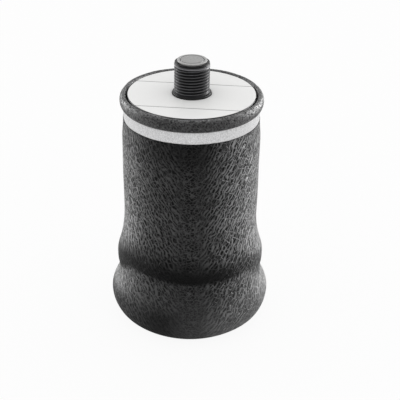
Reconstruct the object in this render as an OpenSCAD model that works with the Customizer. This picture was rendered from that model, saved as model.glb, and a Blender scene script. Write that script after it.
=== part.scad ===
// Rolling-lobe air suspension spring, drawn at its compressed height.
// The spring stands on z = 0, and z is the axis from the piston's foot to the mounting stud.
// All sizes are in millimetres.

/* [Sleeve] */
// Outer diameter of the straight part of the rubber sleeve
sleeve_d = 76; // [74:0.5:80]
// Thickness of the rubber wall
sleeve_wall = 3.2; // [2.8:0.1:3.6]
// Outer diameter of the swelling above the lobe
swell_d = 85.2; // [82:0.2:88]
// Largest diameter of the rolled lobe
lobe_d = 93.2; // [90:0.2:100]
// Height at which the sleeve starts to flare
flare_z = 66.8; // [58:0.2:72]
// Height at which the flare ends in the swelling
swell_z = 41; // [36:0.5:46]
// Height at which the lobe's shoulder starts
shoulder_z = 26.5; // [24:0.5:30]
// Height of the lobe's largest diameter
lobe_z = 14.1; // [12:0.1:16]
// Height of the lobe's lowest ring above the foot
lobe_foot = 1; // [0.5:0.1:2]

/* [Top cuff] */
// Outer diameter of the rounded rubber lip
lip_d = 77.6; // [76:0.2:80]
// Height of the rubber lip
lip_h = 7; // [6:0.1:8]
// Height of the upper crimp ring
band_h = 6.5; // [5:0.1:9]
// Outer diameter of the upper crimp ring
band_d = 74; // [73.6:0.1:75]
// Thickness of both crimp rings
band_t = 1.2; // [0.8:0.1:1.5]
// Outer diameter of the rubber where it leaves the upper crimp ring
root_d = 74.4; // [74.2:0.1:75]
// Length over which the rubber swells back to the sleeve's diameter
root_h = 12; // [8:0.5:14]

/* [End cap] */
// Height of the end cap's top face
cap_z = 136.7; // [130:0.1:150]
// Diameter of the end cap's flange
cap_d = 69.2; // [68:0.1:69.4]
// Thickness of the end cap's plate
plate_t = 3; // [2:0.1:4]
// Thickness of the end cap's flange at its edge
flange_t = 5.4; // [4.5:0.1:6]
// Diameter of the crimp seat over its ridges
seat_d = 66.4; // [66:0.1:67]
// Depth of the skirt below the top face
skirt_h = 15.7; // [15:0.1:20]
// Thickness of the skirt
skirt_t = 2.8; // [2:0.1:3.5]
// Number of stiffening ribs under the plate
cap_ribs = 8; // [4:1:12]
// Diameter of the label
label_d = 68.8; // [60:0.1:69]
// Thickness of the label
label_t = 0.3; // [0.1:0.05:0.5]

/* [Mounting stud] */
// Thread diameter of the mounting stud
stud_d = 19.05; // [18:0.05:20]
// Height of the stud above the end cap
stud_h = 17.8; // [16:0.1:24]
// Diameter of the stud's shoulder in the end cap
collar_d = 21; // [20.6:0.1:23]
// Height of the shoulder above the end cap
collar_h = 1.2; // [0.8:0.1:2]
// Diameter of the stud's head inside the spring
head_d = 34; // [32:0.5:36]
// Thickness of the stud's head
head_t = 5.1; // [4:0.1:6]
// Diameter of the air port
port_d = 11.12; // [10:0.02:11.5]
// Diameter of the air port's mouth, where the plug sits
mouth_d = 11.5; // [11.5:0.1:12]
// Depth of the air port's mouth
mouth_h = 10.5; // [10:0.5:12]
// Diameter of the air passage through the head
airway_d = 10; // [6:0.1:10]
// Cord diameter of the seal ring
seal_cord = 2.3; // [1.8:0.1:2.6]
// Diameter of the seal ring's centre line
seal_d = 27.2; // [26.4:0.1:28]

/* [Port plug] */
// Diameter of the plug's flange
plug_d = 17.2; // [14:0.1:18]
// Thickness of the plug's flange
plug_t = 1.2; // [1:0.1:2]
// Length of the plug's stem
plug_stem = 10; // [8:0.5:12]
// Wall of the plug's stem
plug_wall = 1.5; // [1:0.1:2]

/* [Piston] */
// Outer diameter of the piston
piston_d = 52.4; // [48:0.2:54]
// Height of the piston
piston_h = 95; // [92:0.5:100]
// Thickness of the piston's outer wall
piston_wall = 3; // [2.5:0.1:4]
// Thickness of the piston's top
deck_t = 6; // [5:0.5:8]
// Diameter of the piston's crimp seat over its ridges
neck_d = 48; // [46:0.2:48.4]
// Height of the lower crimp ring
lower_band_h = 7; // [5:0.1:8]
// Depth from the piston's top to the lower crimp ring
lower_band_drop = 5; // [4.5:0.1:7]
// Diameter of the piston's middle column
column_d = 19.2; // [17:0.2:21]
// Diameter of the boss in the piston's foot
foot_boss_d = 23; // [21:0.5:26]
// Height of the boss in the piston's foot
foot_boss_h = 32; // [26:1:40]
// Number of ribs under the piston
piston_ribs = 8; // [4:1:12]
// Thickness of the piston's ribs
rib_t = 2.4; // [1.6:0.1:3]
// Diameter of the foot insert
insert_d = 16; // [14:0.2:17]
// Length of the foot insert
insert_h = 23; // [20:0.5:26]
// Bore of the foot insert, for a half-inch bolt
insert_bore = 10.8; // [10:0.1:12]
// Depth of the bore in the foot insert
insert_depth = 20; // [16:0.5:20]

/* [Bumper] */
// Diameter of the bumper
bumper_d = 34; // [30:0.5:36]
// Diameter of the bumper's waists
waist_d = 28; // [26:0.5:30]
// Number of waists
waists = 2; // [1:1:3]
// Depth of the recess for the screw in the bumper's top
recess_h = 20; // [16:0.5:24]
// Diameter of the bumper's recess
recess_d = 19.6; // [19:0.1:21]
// Width of the air grooves across the bumper's top
groove_w = 5; // [3:0.5:7]
// Diameter of the bumper screw
screw_d = 8; // [7:0.1:8.4]
// Width of the screw's hexagon across its flats
hex_af = 13; // [12:0.1:13.6]
// Height of the screw's hexagon
hex_h = 5.3; // [4:0.1:6]
// Length of the screw's shank below its washer
screw_l = 28; // [24:1:32]
// Diameter of the washer
washer_d = 18.8; // [17:0.1:18.9]
// Thickness of the washer
washer_t = 1.6; // [1:0.1:2]
// Diameter of the bumper insert in the piston
nut_d = 11.4; // [11:0.1:12]
// Length of the bumper insert
nut_h = 18; // [14:1:20]

/* [Clearances] */
// Gap between pieces that are pressed or screwed together
seat_gap = 0.05; // [0.02:0.01:0.08]
// Gap between pieces that move past each other
run_gap = 0.3; // [0.2:0.05:0.5]

/* [Hidden] */
$fn = 96;

rubber = "#242424";
silver = "#cfd0d2";
black_metal = "#1d1e20";
white = "#f2f2f0";
light_plastic = "#b4b4b2";
black_plastic = "#2b2c2e";
steel = "#9a9ca0";
brass = "#b59a52";

// radii that the pieces share
sleeve_r = sleeve_d / 2;
swell_r = swell_d / 2;
lobe_r = lobe_d / 2;
piston_r = piston_d / 2;
seat_r = seat_d / 2;
neck_r = neck_d / 2;
band_r = band_d / 2;
stud_r = stud_d / 2;
cap_r = cap_d / 2;
skin_r = piston_r + run_gap;
lip_r = lip_d / 2;
lip_in = cap_r + run_gap;

// levels at the top of the spring
plate_z = cap_z - plate_t;
ledge_z = cap_z - flange_t;
skirt_z = cap_z - skirt_h;
lip_top = cap_z + label_t + 0.3;
lip_z = lip_top - lip_h;
band_top = lip_z - 2 * seat_gap;
band_z = band_top - band_h;
root_z = band_z - root_h;
stud_z = cap_z + stud_h;
head_z = plate_z - seat_gap;
head_foot = head_z - head_t;

// levels of the piston
deck_z = piston_h - deck_t;
lower_band_top = piston_h - lower_band_drop;
lower_band_z = lower_band_top - lower_band_h;
neck_foot = lower_band_z - 2.5;
taper_foot = neck_foot - 4;
cuff_foot = taper_foot - 2;
seat_top = piston_h - 3.5;

// where the sleeve's nodes meet
wall_join = flare_z + 3.2;
roll_join = 2 * lobe_z + 2;

// the ridges that bite into the rubber
ridge_h = 0.6;
ridge_pitch = 1.8;
rib_recess = 2;

bumper_top = head_foot - run_gap;
bumper_z = piston_h + seat_gap;
washer_z = bumper_top - recess_h;
hex_z = washer_z + washer_t + seat_gap;

// ease from 0 to 1 with level ends
function ease(u) = u * u * (3 - 2 * u);

// points of an elliptical arc round c with half axes rx and rz
function arc(c, rx, rz, from, to, steps = 12) = [
  for (i = [0 : steps])
    let (a = from + (to - from) * i / steps)
    [c[0] + rx * cos(a), c[1] + rz * sin(a)]
];

// outer radius of the sleeve at a height: straight, flare, swelling, then the lobe's shoulder
function wall_r(z) =
  z >= flare_z ? sleeve_r :
  z >= swell_z ? sleeve_r + (swell_r - sleeve_r) * pow((flare_z - z) / (flare_z - swell_z), 2) :
  z >= shoulder_z ? swell_r :
  swell_r + (lobe_r - swell_r) * ease((shoulder_z - z) / (shoulder_z - lobe_z));

// points up the sleeve's outside, moved in by inset
function wall_line(low, high, inset, steps = 20) = [
  for (i = [0 : steps])
    let (z = low + (high - low) * i / steps)
    [wall_r(z) - inset, z]
];

function reversed(list) = [for (i = [len(list) - 1 : -1 : 0]) list[i]];

// outline of a crimp seat: a stack of saw-tooth ridges, from low to high
function ridges(r, low, high) = [
  for (i = [0 : floor((high - low) / ridge_pitch) - 1])
    let (z = low + i * ridge_pitch)
    each [[r - ridge_h, z], [r - ridge_h, z + ridge_pitch / 3], [r, z + ridge_pitch * 0.9]]
];

module ring(r_in, r_out, low, high) {
  translate([0, 0, low])
    difference() {
      cylinder(r = r_out, h = high - low);
      translate([0, 0, -1])
        cylinder(r = r_in, h = high - low + 2);
    }
}

// crimp ring with its edges broken
module crimp_ring(r_in, low, high) {
  edge = band_t / 4;
  color(silver)
    rotate_extrude()
      polygon([
        [r_in, low],
        [r_in + band_t - edge, low],
        [r_in + band_t, low + edge],
        [r_in + band_t, high - edge],
        [r_in + band_t - edge, high],
        [r_in, high]
      ]);
}

// flat ribs that stand round the axis, each with an outline of [radius, height]
module spokes(count, outline, thick) {
  for (i = [0 : count - 1])
    rotate([90, 0, i * 360 / count])
      linear_extrude(height = thick, center = true)
        polygon(outline);
}

// plate, ridged crimp seat, pocket for the stud's head and ribs between them
module end_cap() {
  bore_r = collar_d / 2 + seat_gap;
  pocket_r = head_d / 2 + run_gap;
  pocket_t = 2;
  bevel = 0.6;
  skirt_in = seat_r - skirt_t - ridge_h;
  rib_z = plate_z - head_t + 1;
  color(black_metal) {
    rotate_extrude()
      polygon(concat(
        [[bore_r, plate_z], [skirt_in, plate_z], [skirt_in, skirt_z]],
        ridges(seat_r, skirt_z, ledge_z - 0.4),
        [[seat_r - ridge_h, ledge_z]],
        [[cap_r, ledge_z], [cap_r, cap_z - bevel], [cap_r - bevel, cap_z], [bore_r, cap_z]]
      ));
    ring(pocket_r, pocket_r + pocket_t, rib_z, plate_z + 0.5);
    spokes(
      cap_ribs,
      [
        [pocket_r + pocket_t / 2, rib_z],
        [skirt_in + 0.5, rib_z],
        [skirt_in + 0.5, plate_z + 0.5],
        [pocket_r + pocket_t / 2, plate_z + 0.5]
      ],
      2
    );
  }
}

// threaded stud with its head, shoulder, seal groove and air port
module mounting_stud() {
  lead = 1.1;
  groove_in = seal_d / 2 - seal_cord / 2 - 2 * seat_gap;
  groove_out = seal_d / 2 + seal_cord / 2 + 2 * seat_gap;
  groove_z = head_z - seal_cord;
  port_foot = head_foot + 3.5;
  color(black_metal)
    rotate_extrude()
      polygon([
        [airway_d / 2, head_foot],
        [head_d / 2 - lead, head_foot],
        [head_d / 2, head_foot + lead],
        [head_d / 2, head_z],
        [groove_out, head_z],
        [groove_out, groove_z],
        [groove_in, groove_z],
        [groove_in, head_z],
        [collar_d / 2, head_z],
        [collar_d / 2, cap_z + collar_h],
        [stud_r, cap_z + collar_h],
        [stud_r, stud_z - lead],
        [stud_r - lead, stud_z],
        [mouth_d / 2, stud_z],
        [mouth_d / 2, stud_z - mouth_h],
        [port_d / 2, stud_z - mouth_h - 0.2],
        [port_d / 2, port_foot + 1],
        [airway_d / 2, port_foot]
      ]);
}

// O-ring in the groove of the stud's head
module stud_seal_ring() {
  section_r = seal_cord / 2 - seat_gap / 2;
  color(rubber)
    translate([0, 0, head_z - seal_cord / 2])
      rotate_extrude()
        translate([seal_d / 2, 0])
          circle(r = section_r, $fn = 32);
}

// push-in shipping plug: flange with a shallow ring, hollow stem with sealing beads
module port_plug() {
  foot = stud_z + seat_gap;
  bead_r = mouth_d / 2 - 2 * seat_gap;
  stem_r = bead_r - 0.25;
  bead_pitch = plug_stem / 4;
  ring_r = 0.8 * plug_d / 2;
  ring_w = 0.4;
  ring_depth = 0.25;
  color(light_plastic)
    difference() {
      union() {
        rotate_extrude()
          polygon([
            [0, foot], [plug_d / 2, foot], [plug_d / 2, foot + plug_t - 0.4],
            [plug_d / 2 - 0.4, foot + plug_t], [0, foot + plug_t]
          ]);
        translate([0, 0, foot - plug_stem])
          cylinder(r = stem_r, h = plug_stem + plug_t / 2);
        for (i = [1 : 3])
          translate([0, 0, foot - i * bead_pitch])
            cylinder(r1 = stem_r - 0.1, r2 = bead_r, h = 1);
      }
      translate([0, 0, foot - plug_stem - 1])
        cylinder(r = stem_r - plug_wall, h = plug_stem);
      ring(ring_r - ring_w, ring_r, foot + plug_t - ring_depth, foot + plug_t + 1);
    }
}

// bare disc stuck on the end cap
module label_disc() {
  color(white)
    ring(collar_d / 2 + run_gap, label_d / 2, cap_z, cap_z + label_t);
}

module upper_crimp_ring() {
  crimp_ring(band_r - band_t, band_z, band_top);
}

// rubber squeezed on the end cap's seat, with the round lip above the crimp ring
module sleeve_top_cuff() {
  lip_mid = (lip_r + lip_in) / 2;
  lip_half = (lip_r - lip_in) / 2;
  squeezed_r = band_r - band_t - seat_gap;
  inner_r = seat_r + seat_gap;
  tube_in = sleeve_r - sleeve_wall;
  root_steps = 6;
  color(rubber)
    rotate_extrude()
      polygon(concat(
        [[tube_in, root_z], [tube_in, skirt_z - 3], [inner_r, skirt_z]],
        [[inner_r, ledge_z - seat_gap], [lip_in, ledge_z - seat_gap]],
        reversed(arc([lip_mid, lip_z + lip_h / 2], lip_half, lip_h / 2, -90, 180, 24)),
        [[squeezed_r, lip_z], [squeezed_r, band_z - seat_gap]],
        [
          for (i = [0 : root_steps])
            let (u = i / root_steps)
            [root_d / 2 + (sleeve_r - root_d / 2) * ease(u), band_z - seat_gap - root_h * u]
        ],
        [[sleeve_r, root_z]]
      ));
}

module sleeve_upper_wall() {
  color(rubber)
    ring(sleeve_r - sleeve_wall, sleeve_r, wall_join, root_z);
}

// flare and swelling
module sleeve_lower_wall() {
  color(rubber)
    rotate_extrude()
      polygon(concat(
        wall_line(shoulder_z, wall_join, 0),
        reversed(wall_line(shoulder_z, wall_join, sleeve_wall))
      ));
}

// shoulder, roll and the first stretch of the inner wall
module rolling_lobe() {
  half_w = (lobe_r - skin_r) / 2;
  half_h = lobe_z - lobe_foot;
  mid = [lobe_r - half_w, lobe_z];
  color(rubber)
    rotate_extrude()
      polygon(concat(
        reversed(wall_line(lobe_z, shoulder_z, 0, 10)),
        arc(mid, half_w, half_h, -8, -180, 24),
        [[skin_r, roll_join], [skin_r + sleeve_wall, roll_join]],
        reversed(arc(mid, half_w - sleeve_wall, half_h - sleeve_wall, -8, -180, 20)),
        wall_line(lobe_z, shoulder_z, sleeve_wall, 10)
      ));
}

// rubber that lies on the piston
module sleeve_inner_wall() {
  color(rubber)
    ring(skin_r, skin_r + sleeve_wall, roll_join, cuff_foot);
}

// rubber squeezed on the piston's seat
module sleeve_bottom_cuff() {
  inner_r = neck_r + seat_gap;
  squeezed_r = neck_r + sleeve_wall - 0.6;
  color(rubber)
    rotate_extrude()
      polygon([
        [skin_r, cuff_foot],
        [skin_r + sleeve_wall, cuff_foot],
        [skin_r + sleeve_wall, taper_foot],
        [inner_r + sleeve_wall, lower_band_z - 1.2],
        [squeezed_r, lower_band_z - seat_gap],
        [squeezed_r, lower_band_top + seat_gap],
        [squeezed_r + 0.4, lower_band_top + 0.6],
        [squeezed_r, seat_top - seat_gap],
        [inner_r, seat_top - seat_gap],
        [inner_r, neck_foot],
        [skin_r, taper_foot]
      ]);
}

module lower_crimp_ring() {
  crimp_ring(neck_r + sleeve_wall - 0.6 + seat_gap, lower_band_z, lower_band_top);
}

// moulded piston: shell, ridged seat, retaining bead, middle column and ribs
module piston() {
  bead_r = neck_r + 1.2;
  shell_in = piston_r - piston_wall;
  neck_in = neck_r - ridge_h - piston_wall;
  bevel = 0.8;
  color(black_plastic)
    difference() {
      union() {
        rotate_extrude()
          polygon(concat(
            [[shell_in, 0], [piston_r - bevel, 0], [piston_r, bevel], [piston_r, taper_foot]],
            [[neck_r - ridge_h, neck_foot - 0.4]],
            ridges(neck_r, neck_foot, seat_top - 0.2),
            [[neck_r - ridge_h, seat_top], [bead_r, seat_top], [bead_r, piston_h - bevel]],
            [[bead_r - bevel, piston_h], [0, piston_h], [0, deck_z], [neck_in, deck_z]],
            [[neck_in, taper_foot], [shell_in, taper_foot - 4]]
          ));
        cylinder(r = column_d / 2, h = deck_z + 1);
        cylinder(r = foot_boss_d / 2, h = foot_boss_h);
        spokes(
          piston_ribs,
          [
            [column_d / 2 - 1, rib_recess],
            [shell_in + 1, rib_recess],
            [shell_in + 1, taper_foot - 4],
            [neck_in + 1, taper_foot],
            [neck_in + 1, deck_z + 1],
            [column_d / 2 - 1, deck_z + 1]
          ],
          rib_t
        );
      }
      translate([0, 0, -1])
        cylinder(r = insert_d / 2 + seat_gap, h = insert_h + seat_gap + 1);
      translate([0, 0, piston_h - nut_h - seat_gap])
        cylinder(r = nut_d / 2 + seat_gap, h = nut_h + 1);
      translate([0, 0, piston_h - nut_h - 8])
        cylinder(r = screw_d / 2 + run_gap, h = nut_h);
    }
}

// threaded insert with two grooves that the plastic grips
module knurled_insert(r, bore_r, low, high) {
  groove = 0.5;
  part_h = (high - low) / 5;
  color(brass)
    rotate_extrude()
      polygon([
        [bore_r, low],
        [r, low],
        [r, low + part_h],
        [r - groove, low + part_h],
        [r - groove, low + 2 * part_h],
        [r, low + 2 * part_h],
        [r, low + 3 * part_h],
        [r - groove, low + 3 * part_h],
        [r - groove, low + 4 * part_h],
        [r, low + 4 * part_h],
        [r, high],
        [bore_r, high]
      ]);
}

module piston_insert() {
  knurled_insert(insert_d / 2, insert_bore / 2, 0, insert_h);
  color(brass)
    translate([0, 0, insert_depth])
      cylinder(r = insert_bore / 2 + 0.5, h = insert_h - insert_depth);
}

module bumper_insert() {
  knurled_insert(nut_d / 2, screw_d / 2 + seat_gap, piston_h - nut_h, piston_h);
}

// waisted rubber stop with a recess for its screw and air grooves across the top
module bumper() {
  body_r = bumper_d / 2;
  span = bumper_top - bumper_z;
  edge = 2;
  wave_steps = 12 * waists;
  color(rubber)
    difference() {
      rotate_extrude()
        polygon(concat(
          [[screw_d / 2 + run_gap, bumper_z], [body_r - edge, bumper_z]],
          [
            for (i = [0 : wave_steps])
              let (u = i / wave_steps)
              [
                body_r - (body_r - waist_d / 2) * (1 - cos(360 * waists * u)) / 2,
                bumper_z + edge + (span - 2 * edge) * u
              ]
          ],
          [[body_r - edge, bumper_top], [screw_d / 2 + run_gap, bumper_top]]
        ));
      translate([0, 0, washer_z])
        cylinder(r = recess_d / 2, h = recess_h + 1);
      for (turn = [0, 90])
        rotate([0, 0, turn])
          translate([-body_r - 1, -groove_w / 2, bumper_top - groove_w / 2])
            cube([bumper_d + 2, groove_w, groove_w]);
    }
}

module bumper_washer() {
  color(steel)
    ring(screw_d / 2 + run_gap, washer_d / 2, washer_z, washer_z + washer_t);
}

// hexagon screw through the bumper into the piston's top
module bumper_screw() {
  color(steel) {
    translate([0, 0, hex_z])
      cylinder(d = hex_af / cos(30), h = hex_h, $fn = 6);
    translate([0, 0, hex_z - screw_l])
      cylinder(d = screw_d, h = screw_l + 1);
  }
}

end_cap();
mounting_stud();
stud_seal_ring();
port_plug();
label_disc();
upper_crimp_ring();
sleeve_top_cuff();
sleeve_upper_wall();
sleeve_lower_wall();
rolling_lobe();
sleeve_inner_wall();
sleeve_bottom_cuff();
lower_crimp_ring();
piston();
piston_insert();
bumper();
bumper_washer();
bumper_screw();
bumper_insert();
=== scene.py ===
"""Looks of a rolling-lobe air suspension spring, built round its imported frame.

Lengths are in metres. The spring stands on z = 0 and its axis is z.
"""

import math

import bpy
import numpy as np
from bpy.props import FloatProperty, FloatVectorProperty, IntProperty, PointerProperty
from mathutils import Euler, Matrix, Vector


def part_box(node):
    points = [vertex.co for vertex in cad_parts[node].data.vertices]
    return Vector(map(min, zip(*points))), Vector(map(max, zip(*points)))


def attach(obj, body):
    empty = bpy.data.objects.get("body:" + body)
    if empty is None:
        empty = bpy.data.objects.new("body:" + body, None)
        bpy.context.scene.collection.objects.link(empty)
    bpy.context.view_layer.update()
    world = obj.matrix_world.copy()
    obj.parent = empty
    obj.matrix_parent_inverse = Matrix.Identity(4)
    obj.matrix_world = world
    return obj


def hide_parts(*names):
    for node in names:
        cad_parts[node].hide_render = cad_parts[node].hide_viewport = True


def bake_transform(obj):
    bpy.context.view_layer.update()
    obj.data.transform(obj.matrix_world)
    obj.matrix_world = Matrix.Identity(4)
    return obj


bl_info = {
    "name": "Air Spring Looks",
    "version": (1, 0, 0),
    "blender": (4, 5, 0),
    "location": "3D View > Sidebar > Air Spring",
    "description": "Builds the visible pieces and finishes of a rolling-lobe air spring",
    "category": "Object",
}

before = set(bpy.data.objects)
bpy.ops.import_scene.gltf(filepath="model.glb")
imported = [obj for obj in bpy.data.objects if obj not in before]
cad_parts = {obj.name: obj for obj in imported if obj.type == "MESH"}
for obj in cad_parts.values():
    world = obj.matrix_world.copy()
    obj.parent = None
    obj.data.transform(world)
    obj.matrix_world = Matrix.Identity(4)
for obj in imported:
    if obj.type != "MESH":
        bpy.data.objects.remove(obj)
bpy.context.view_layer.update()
MM = 0.001

# The plug's flange as a share of the CAD flange, and the ring sunk in it as a share of the flange
PLUG_FLANGE = 0.93
PLUG_RING = 0.84
PLUG_RING_W = 0.8 * MM

# Each lamp's name, place, share of the lamps' power, and width
LAMPS = (
    ("lamp_left", (-0.55, 0.3, 0.22), 0.8, 0.4),
    ("lamp_right", (0.55, 0.3, 0.22), 1.5, 0.4),
    ("lamp_top", (0.0, 0.2, 0.9), 0.1, 0.7),
)


def low(node):
    """Lowest height of a CAD node."""
    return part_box(node)[0].z


def high(node):
    """Highest height of a CAD node."""
    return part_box(node)[1].z


def reach(node):
    """Largest radius of a CAD node."""
    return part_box(node)[1].x


# Sizes and colours that a user may change


class SleeveSettings(bpy.types.PropertyGroup):
    """Shape and finish of the rubber"""

    wall: FloatProperty(
        name="Wall", description="Thickness of the rubber", default=3.2 * MM, unit="LENGTH"
    )
    flare_z: FloatProperty(
        name="Flare start", description="Height at which the sleeve starts to flare",
        default=66.8 * MM, unit="LENGTH",
    )
    swell_z: FloatProperty(
        name="Flare end", description="Height at which the flare ends in the swelling",
        default=41.0 * MM, unit="LENGTH",
    )
    lobe_z: FloatProperty(
        name="Lobe height", description="Height of the lobe's largest diameter",
        default=14.1 * MM, unit="LENGTH",
    )
    lip_h: FloatProperty(
        name="Lip height", description="Height of the rounded lip", default=7.0 * MM, unit="LENGTH"
    )
    root_r: FloatProperty(
        name="Root radius", description="Radius of the rubber below the crimp ring",
        default=37.2 * MM, unit="LENGTH",
    )
    ripple: FloatProperty(
        name="Ripple", description="Unevenness of the moulded wall", default=0.12 * MM, unit="LENGTH"
    )
    sag: FloatProperty(
        name="Slack", description="How much higher the crease over the lobe stands at the front",
        default=13.0 * MM, unit="LENGTH",
    )
    crease: FloatProperty(
        name="Crease", description="Depth of the crease over the lobe", default=0.9 * MM,
        unit="LENGTH",
    )
    turns: IntProperty(
        name="Segments", description="Faces round the sleeve", default=224, min=48, max=512
    )
    color: FloatVectorProperty(
        name="Rubber", description="Colour of the rubber", default=(0.006, 0.006, 0.0061),
        size=3, subtype="COLOR", min=0, max=1,
    )
    roughness: FloatProperty(
        name="Roughness", description="Roughness of the rubber", default=0.42,
        min=0, max=1, subtype="FACTOR",
    )
    grain: FloatProperty(
        name="Grain size", description="Width of one cell of the leather grain",
        default=1.7 * MM, unit="LENGTH",
    )
    grain_depth: FloatProperty(
        name="Grain depth", description="Depth of the leather grain", default=0.8 * MM, unit="LENGTH"
    )


class MetalSettings(bpy.types.PropertyGroup):
    """Metal finishes and the stud's thread"""

    crimp_color: FloatVectorProperty(
        name="Crimp ring", description="Colour of the crimp rings", default=(0.78, 0.78, 0.785),
        size=3, subtype="COLOR", min=0, max=1,
    )
    stud_color: FloatVectorProperty(
        name="Stud", description="Colour of the blackened stud", default=(0.007, 0.007, 0.0075),
        size=3, subtype="COLOR", min=0, max=1,
    )
    # The crests' colour is partly rubbed steel and partly a painted highlight
    crest_color: FloatVectorProperty(
        name="Thread crests", description="Colour of the rubbed crests", default=(0.11, 0.11, 0.115),
        size=3, subtype="COLOR", min=0, max=1,
    )
    pitch: FloatProperty(
        name="Thread pitch", description="Pitch of the stud's thread", default=25.4 / 16 * MM,
        unit="LENGTH", precision=5,
    )
    thread_depth: FloatProperty(
        name="Thread depth", description="Depth of the stud's thread", default=0.92 * MM,
        unit="LENGTH", precision=5,
    )
    steel_color: FloatVectorProperty(
        name="Steel", description="Colour of the plated screw", default=(0.55, 0.55, 0.56),
        size=3, subtype="COLOR", min=0, max=1,
    )
    brass_color: FloatVectorProperty(
        name="Brass", description="Colour of the inserts", default=(0.62, 0.45, 0.2),
        size=3, subtype="COLOR", min=0, max=1,
    )


class TrimSettings(bpy.types.PropertyGroup):
    """Colours of the label, the plug and the piston"""

    label_color: FloatVectorProperty(
        name="Label", description="Colour of the bare label", default=(0.96, 0.96, 0.95),
        size=3, subtype="COLOR", min=0, max=1,
    )
    line_color: FloatVectorProperty(
        name="Label lines", description="Colour of the two ruled lines", default=(0.25, 0.25, 0.25),
        size=3, subtype="COLOR", min=0, max=1,
    )
    plug_color: FloatVectorProperty(
        name="Plug", description="Colour of the port plug", default=(0.34, 0.34, 0.335),
        size=3, subtype="COLOR", min=0, max=1,
    )
    piston_color: FloatVectorProperty(
        name="Piston", description="Colour of the moulded piston", default=(0.03, 0.03, 0.032),
        size=3, subtype="COLOR", min=0, max=1,
    )


class StageSettings(bpy.types.PropertyGroup):
    """Camera, floor and light"""

    distance: FloatProperty(
        name="Camera distance", description="Camera's distance in front of the axis",
        default=416.1 * MM, unit="LENGTH",
    )
    height: FloatProperty(
        name="Camera height", description="Camera's height", default=307.0 * MM, unit="LENGTH"
    )
    pitch: FloatProperty(
        name="Pitch", description="How far the camera looks down", default=math.radians(29.58),
        subtype="ANGLE",
    )
    yaw: FloatProperty(
        name="Yaw", description="How far the camera looks to the right", default=math.radians(0.74),
        subtype="ANGLE",
    )
    roll: FloatProperty(
        name="Roll", description="How far the picture leans", default=math.radians(1.0),
        subtype="ANGLE",
    )
    lens: FloatProperty(
        name="Lens", description="Focal length of the camera, in millimetres", default=74.84, min=10
    )
    floor_color: FloatVectorProperty(
        name="Floor", description="Colour of the floor", default=(0.92, 0.92, 0.92),
        size=3, subtype="COLOR", min=0, max=1,
    )
    sky: FloatProperty(
        name="Room light", description="Strength of the light from all round", default=0.87, min=0
    )
    lamp: FloatProperty(
        name="Lamps", description="Power of a lamp whose share is 1, in watts", default=3.4, min=0
    )
    front: FloatProperty(
        name="Front", description="Brightness of the dim side of the room, behind the camera",
        default=0.31, min=0, max=1, subtype="FACTOR",
    )


# Shader maths


class Wire:
    """A shader socket used as a value: an expression on wires adds the nodes that work it out."""

    def __init__(self, tree, socket):
        self.tree = tree
        self.socket = socket

    def node(self, kind, settings=None, inputs=None):
        return add_node(self.tree, kind, settings, inputs)

    def math(self, operation, *values):
        made = self.node("ShaderNodeMath", {"operation": operation}, dict(enumerate(values)))
        return made["Value"]

    def vector_math(self, operation, *values):
        made = self.node("ShaderNodeVectorMath", {"operation": operation}, dict(enumerate(values)))
        return made["Vector"]

    def combine(self, operation, a, b):
        if any(isinstance(v, Wire) and v.socket.type == "VECTOR" for v in (a, b)):
            return self.vector_math(operation, spread(a), spread(b))
        return self.math(operation, a, b)

    def __add__(self, other):
        return self.combine("ADD", self, other)

    def __radd__(self, other):
        return self.combine("ADD", other, self)

    def __sub__(self, other):
        return self.combine("SUBTRACT", self, other)

    def __rsub__(self, other):
        return self.combine("SUBTRACT", other, self)

    def __mul__(self, other):
        return self.combine("MULTIPLY", self, other)

    def __rmul__(self, other):
        return self.combine("MULTIPLY", other, self)

    def __pow__(self, power):
        return self.math("POWER", self, power)

    def __neg__(self):
        return self * -1.0

    def least(self, other):
        return self.math("MINIMUM", self, other)

    def most(self, other):
        return self.math("MAXIMUM", self, other)

    def size(self):
        return self.math("ABSOLUTE", self)

    def ease(self, start, end):
        """0 before start, 1 after end, with a smooth rise between them."""
        made = self.node(
            "ShaderNodeMapRange",
            {"interpolation_type": "SMOOTHSTEP"},
            {"Value": self, "From Min": start, "From Max": end, "To Min": 0.0, "To Max": 1.0},
        )
        return made["Result"]

    def between(self, a, b):
        """Colour a where this wire is 0 and colour b where it is 1."""
        made = self.node(
            "ShaderNodeMix", {"data_type": "RGBA"}, {"Factor": self, "A_Color": a, "B_Color": b}
        )
        return made["Result_Color"]


def spread(value):
    """A number as a vector, so that it joins one."""
    return (value, value, value) if isinstance(value, (int, float)) else value


class Outputs:
    """The outputs of one node, by name, as wires."""

    def __init__(self, tree, node):
        self.tree = tree
        self.node = node

    def __getitem__(self, name):
        if name == "Result_Color":
            found = next(s for s in self.node.outputs if s.enabled and s.type == "RGBA")
        else:
            found = self.node.outputs[name]
        return Wire(self.tree, found)


def find_input(node, name):
    """An input by its number or name; A_Color and B_Color are a Mix node's colours."""
    if isinstance(name, int):
        return node.inputs[name]
    if name.endswith("_Color") and node.bl_idname == "ShaderNodeMix":
        letter = name[0]
        return next(s for s in node.inputs if s.name == letter and s.type == "RGBA")
    return next(s for s in node.inputs if s.name == name and s.enabled)


def add_node(tree, kind, settings=None, inputs=None):
    """Adds a node, sets its settings first and then the values or links of its sockets."""
    node = tree.nodes.new(kind)
    for key, value in (settings or {}).items():
        setattr(node, key, value)
    for name, value in (inputs or {}).items():
        socket = find_input(node, name)
        if isinstance(value, Wire):
            tree.links.new(value.socket, socket)
        elif socket.type == "RGBA" and len(value) == 3:
            socket.default_value = (*value, 1.0)
        else:
            socket.default_value = value
    return Outputs(tree, node)


def new_surface(name):
    """A material with its tree, its Principled shader and its points in millimetres."""
    material = bpy.data.materials.new(name)
    material.use_nodes = True
    tree = material.node_tree
    shader = tree.nodes["Principled BSDF"]
    points = add_node(tree, "ShaderNodeTexCoord")["Object"] * 1000.0
    return material, tree, shader, points


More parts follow.
